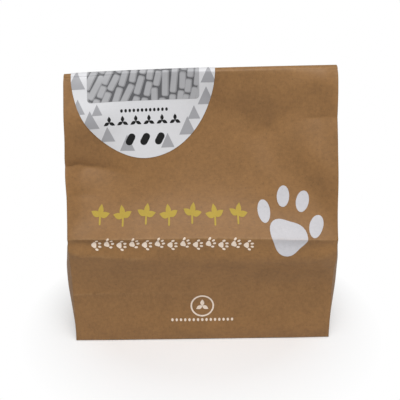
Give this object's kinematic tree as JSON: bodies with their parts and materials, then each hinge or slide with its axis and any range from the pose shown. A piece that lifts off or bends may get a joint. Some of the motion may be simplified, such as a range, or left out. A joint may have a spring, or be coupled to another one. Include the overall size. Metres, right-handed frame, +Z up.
{
  "type": "filled paper litter bag",
  "caption": "Filled and sealed block-bottom kraft paper bag with side gussets, its mouth folded to the back under a white oval paper label.",
  "frame": {"origin": "middle of the base, on the surface that the bag stands on", "axes": "+Z up, -Y to the front, +X to the right of the front"},
  "size_m": [0.258, 0.107, 0.249],
  "materials": {
    "kraft_paper": "uncoated brown kraft paper, softly creased",
    "label_paper": "smooth white label paper with a slight sheen"
  },
  "bodies": {
    "root": {"paper_bag": "kraft_paper", "top_label": "label_paper"}
  },
  "joints": []
}
